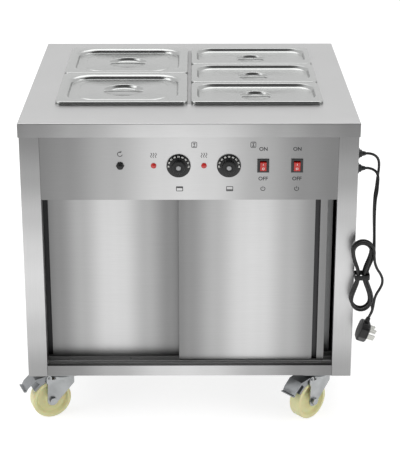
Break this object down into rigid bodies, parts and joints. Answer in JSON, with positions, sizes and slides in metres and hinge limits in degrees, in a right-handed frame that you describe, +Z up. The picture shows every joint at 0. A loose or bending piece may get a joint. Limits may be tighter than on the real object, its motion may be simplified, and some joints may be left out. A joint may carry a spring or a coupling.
{
  "type": "plate warmer cabinet",
  "caption": "Stainless heated plate cupboard on castors, with sliding doors, a control panel and a water bath for covered food pans on top.",
  "frame": {"origin": "on the floor under the middle of the cabinet's box, without the mains leads", "axes": "+Z up, the doors and controls face -Y, +X to the right seen from the front"},
  "size_m": [0.8953, 0.806, 0.7985],
  "materials": {
    "stainless": "brushed",
    "pan_steel": "polished",
    "liner_steel": "mill",
    "element": "oxidised",
    "zinc": "zinc plated",
    "black_plastic": "satin",
    "red_plastic": "gloss",
    "nylon": "moulded",
    "rubber_cord": "matte"
  },
  "bodies": {
    "cabinet": {"top_plate": "stainless", "well_tank": "pan_steel", "pan_divider": "pan_steel", "left_side_panel": "stainless", "right_side_panel": "stainless", "back_panel": "stainless", "base_panel": "stainless", "castor_channels": "liner_steel", "control_panel": "stainless", "upper_track": "liner_steel", "lower_track": "stainless", "left_liner": "liner_steel", "right_liner": "liner_steel", "ceiling_panel": "liner_steel", "shelf": "stainless", "well_heater": "element", "cupboard_heater": "element", "heater_guard": "stainless", "thermostats": "zinc", "pilot_lamps": "red_plastic", "reset_body": "black_plastic", "switch_bodies": "black_plastic", "cable_glands": "black_plastic", "screws": "zinc", "castor_plates": "zinc", "upper_lead": "rubber_cord", "upper_hank": "rubber_cord", "upper_plug": "black_plastic", "lower_lead": "rubber_cord", "lower_hank": "rubber_cord", "lower_plug": "black_plastic", "hank_tie": "black_plastic"},
    "pan_front_left": {"pan_front_left": "pan_steel"},
    "pan_back_left": {"pan_back_left": "pan_steel"},
    "pan_front_right": {"pan_front_right": "pan_steel"},
    "pan_middle_right": {"pan_middle_right": "pan_steel"},
    "pan_back_right": {"pan_back_right": "pan_steel"},
    "lid_front_left": {"lid_front_left": "pan_steel"},
    "lid_back_left": {"lid_back_left": "pan_steel"},
    "lid_front_right": {"lid_front_right": "pan_steel"},
    "lid_middle_right": {"lid_middle_right": "pan_steel"},
    "lid_back_right": {"lid_back_right": "pan_steel"},
    "left_door": {"left_door": "stainless"},
    "right_door": {"right_door": "stainless"},
    "top_knob": {"top_knob": "black_plastic"},
    "bottom_knob": {"bottom_knob": "black_plastic"},
    "left_rocker": {"left_rocker": "red_plastic"},
    "right_rocker": {"right_rocker": "red_plastic"},
    "reset_button": {"reset_button": "black_plastic"},
    "front_left_fork": {"front_left_fork": "zinc"},
    "front_left_wheel": {"front_left_wheel": "nylon"},
    "front_left_pedal": {"front_left_pedal": "zinc"},
    "front_right_fork": {"front_right_fork": "zinc"},
    "front_right_wheel": {"front_right_wheel": "nylon"},
    "front_right_pedal": {"front_right_pedal": "zinc"},
    "rear_left_fork": {"rear_left_fork": "zinc"},
    "rear_left_wheel": {"rear_left_wheel": "nylon"},
    "rear_right_fork": {"rear_right_fork": "zinc"},
    "rear_right_wheel": {"rear_right_wheel": "nylon"}
  },
  "joints": [
    {"name": "pan_front_left_lift", "type": "slide", "parent": "cabinet", "child": "pan_front_left", "axis": [0, 0, 1], "range_m": [0, 0.13]},
    {"name": "pan_back_left_lift", "type": "slide", "parent": "cabinet", "child": "pan_back_left", "axis": [0, 0, 1], "range_m": [0, 0.13]},
    {"name": "pan_front_right_lift", "type": "slide", "parent": "cabinet", "child": "pan_front_right", "axis": [0, 0, 1], "range_m": [0, 0.13]},
    {"name": "pan_middle_right_lift", "type": "slide", "parent": "cabinet", "child": "pan_middle_right", "axis": [0, 0, 1], "range_m": [0, 0.13]},
    {"name": "pan_back_right_lift", "type": "slide", "parent": "cabinet", "child": "pan_back_right", "axis": [0, 0, 1], "range_m": [0, 0.13]},
    {"name": "lid_front_left_lift", "type": "slide", "parent": "pan_front_left", "child": "lid_front_left", "axis": [0, 0, 1], "range_m": [0, 0.15]},
    {"name": "lid_back_left_lift", "type": "slide", "parent": "pan_back_left", "child": "lid_back_left", "axis": [0, 0, 1], "range_m": [0, 0.15]},
    {"name": "lid_front_right_lift", "type": "slide", "parent": "pan_front_right", "child": "lid_front_right", "axis": [0, 0, 1], "range_m": [0, 0.15]},
    {"name": "lid_middle_right_lift", "type": "slide", "parent": "pan_middle_right", "child": "lid_middle_right", "axis": [0, 0, 1], "range_m": [0, 0.15]},
    {"name": "lid_back_right_lift", "type": "slide", "parent": "pan_back_right", "child": "lid_back_right", "axis": [0, 0, 1], "range_m": [0, 0.15]},
    {"name": "left_door_slide", "type": "slide", "parent": "cabinet", "child": "left_door", "axis": [1, 0, 0], "range_m": [0, 0.385]},
    {"name": "right_door_slide", "type": "slide", "parent": "cabinet", "child": "right_door", "axis": [1, 0, 0], "range_m": [-0.346, 0.039]},
    {"name": "top_knob_turn", "type": "hinge", "parent": "cabinet", "child": "top_knob", "pos_m": [-0.025, -0.3565, 0.684], "axis": [0, 1, 0], "range_deg": [0, 270]},
    {"name": "bottom_knob_turn", "type": "hinge", "parent": "cabinet", "child": "bottom_knob", "pos_m": [0.094, -0.3565, 0.684], "axis": [0, 1, 0], "range_deg": [0, 270]},
    {"name": "left_rocker_tip", "type": "hinge", "parent": "cabinet", "child": "left_rocker", "pos_m": [0.175, -0.3515, 0.684], "axis": [-1, 0, 0], "range_deg": [0, 16]},
    {"name": "right_rocker_tip", "type": "hinge", "parent": "cabinet", "child": "right_rocker", "pos_m": [0.255, -0.3515, 0.684], "axis": [-1, 0, 0], "range_deg": [0, 16]},
    {"name": "reset_press", "type": "slide", "parent": "cabinet", "child": "reset_button", "axis": [0, 1, 0], "range_m": [0, 0.003], "stiffness_N_per_m": 400},
    {"name": "front_left_swivel", "type": "hinge", "parent": "cabinet", "child": "front_left_fork", "pos_m": [-0.322, -0.301, 0.11], "axis": [0, 0, 1], "continuous": true},
    {"name": "front_left_roll", "type": "hinge", "parent": "front_left_fork", "child": "front_left_wheel", "pos_m": [-0.3526, -0.31336, 0.05], "axis": [0.3746, -0.9272, 0], "continuous": true},
    {"name": "front_left_brake", "type": "hinge", "parent": "front_left_fork", "child": "front_left_pedal", "pos_m": [-0.36001, -0.31636, 0.112], "axis": [-0.3746, 0.9272, 0], "range_deg": [0, 14]},
    {"name": "front_right_swivel", "type": "hinge", "parent": "cabinet", "child": "front_right_fork", "pos_m": [0.322, -0.301, 0.11], "axis": [0, 0, 1], "continuous": true},
    {"name": "front_right_roll", "type": "hinge", "parent": "front_right_fork", "child": "front_right_wheel", "pos_m": [0.29748, -0.32308, 0.05], "axis": [0.6691, -0.7431, 0], "continuous": true},
    {"name": "front_right_brake", "type": "hinge", "parent": "front_right_fork", "child": "front_right_pedal", "pos_m": [0.29153, -0.32843, 0.112], "axis": [-0.6691, 0.7431, 0], "range_deg": [0, 14]},
    {"name": "rear_left_swivel", "type": "hinge", "parent": "cabinet", "child": "rear_left_fork", "pos_m": [-0.322, 0.329, 0.11], "axis": [0, 0, 1], "continuous": true},
    {"name": "rear_left_roll", "type": "hinge", "parent": "rear_left_fork", "child": "rear_left_wheel", "pos_m": [-0.35191, 0.31505, 0.05], "axis": [0.4226, -0.9063, 0], "continuous": true},
    {"name": "rear_right_swivel", "type": "hinge", "parent": "cabinet", "child": "rear_right_fork", "pos_m": [0.322, 0.329, 0.11], "axis": [0, 0, 1], "continuous": true},
    {"name": "rear_right_roll", "type": "hinge", "parent": "rear_right_fork", "child": "rear_right_wheel", "pos_m": [0.29401, 0.31151, 0.05], "axis": [0.5299, -0.848, 0], "continuous": true}
  ]
}
